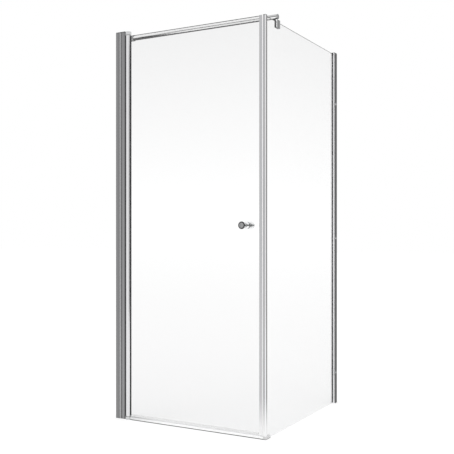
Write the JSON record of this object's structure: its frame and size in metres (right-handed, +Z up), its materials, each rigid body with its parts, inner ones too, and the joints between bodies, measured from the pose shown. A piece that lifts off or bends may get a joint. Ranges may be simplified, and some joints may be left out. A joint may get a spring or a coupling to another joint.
{
  "type": "shower door with side panel",
  "caption": "Corner shower enclosure: a frameless glass door pivots on a round upright and shuts against a slim post that holds a fixed glass side panel.",
  "frame": {"origin": "centre of the overall box, on the floor", "axes": "+X runs along the closed door from the hinge wall to the side panel, +Y from the front of the door into the enclosure towards the far wall, +Z up"},
  "size_m": [0.8792, 0.9384, 2.0125],
  "materials": {
    "satin_aluminium": "satin anodised",
    "bright_aluminium": "bright anodised",
    "chrome": "polished",
    "steel": "plain stainless",
    "glass": "clear toughened",
    "clear_seal": "translucent",
    "white_seal": "matt white",
    "grey_plastic": "matt grey",
    "dark_seal": "matt black",
    "nylon": "matt natural"
  },
  "bodies": {
    "frame": {"hinge_wall_channel": "satin_aluminium", "hinge_jamb": "satin_aluminium", "hinge_lock_screw_1": "steel", "hinge_lock_screw_2": "steel", "hinge_lock_screw_3": "steel", "hinge_screw_cover_1": "chrome", "hinge_screw_cover_2": "chrome", "hinge_screw_cover_3": "chrome", "hinge_top_cap": "grey_plastic", "top_pivot_housing": "chrome", "bottom_pivot_housing": "chrome", "top_pivot_bush": "nylon", "bottom_pivot_bush": "nylon", "hinge_gap_seal": "dark_seal", "side_wall_channel": "satin_aluminium", "side_jamb": "satin_aluminium", "side_lock_screw_1": "steel", "side_lock_screw_2": "steel", "side_lock_screw_3": "steel", "side_screw_cover_1": "chrome", "side_screw_cover_2": "chrome", "side_screw_cover_3": "chrome", "side_top_cap": "grey_plastic", "side_outer_gasket": "dark_seal", "side_inner_gasket": "clear_seal", "side_glass": "glass", "side_bottom_strip": "clear_seal", "corner_post": "bright_aluminium", "corner_post_cap": "grey_plastic", "corner_gasket": "clear_seal", "post_magnet_strip": "white_seal", "corner_foot": "grey_plastic", "threshold_rail": "bright_aluminium", "threshold_base_strip": "dark_seal", "bar_wall_socket": "chrome", "socket_grub_screw": "steel", "stabiliser_bar": "chrome", "bar_end_cap": "chrome", "clamp_stud": "chrome", "glass_clamp": "chrome", "clamp_outer_pad": "clear_seal", "clamp_inner_pad": "clear_seal", "clamp_screw": "steel"},
    "door": {"hinge_tube": "bright_aluminium", "tube_top_plug": "grey_plastic", "tube_bottom_plug": "grey_plastic", "top_pivot_pin": "steel", "bottom_pivot_pin": "steel", "tube_gasket": "dark_seal", "door_glass": "glass", "closing_profile": "bright_aluminium", "door_magnet_strip": "white_seal", "door_bottom_seal": "clear_seal", "outer_knob": "chrome", "inner_knob": "chrome", "outer_knob_gasket": "clear_seal", "inner_knob_gasket": "clear_seal", "knob_bolt": "steel", "knob_grub_screw": "steel"}
  },
  "joints": [
    {"name": "door_hinge", "type": "hinge", "parent": "frame", "child": "door", "pos_m": [-0.3649, -0.41655, 0.0171], "axis": [0, 0, -1], "range_deg": [0, 90]}
  ]
}
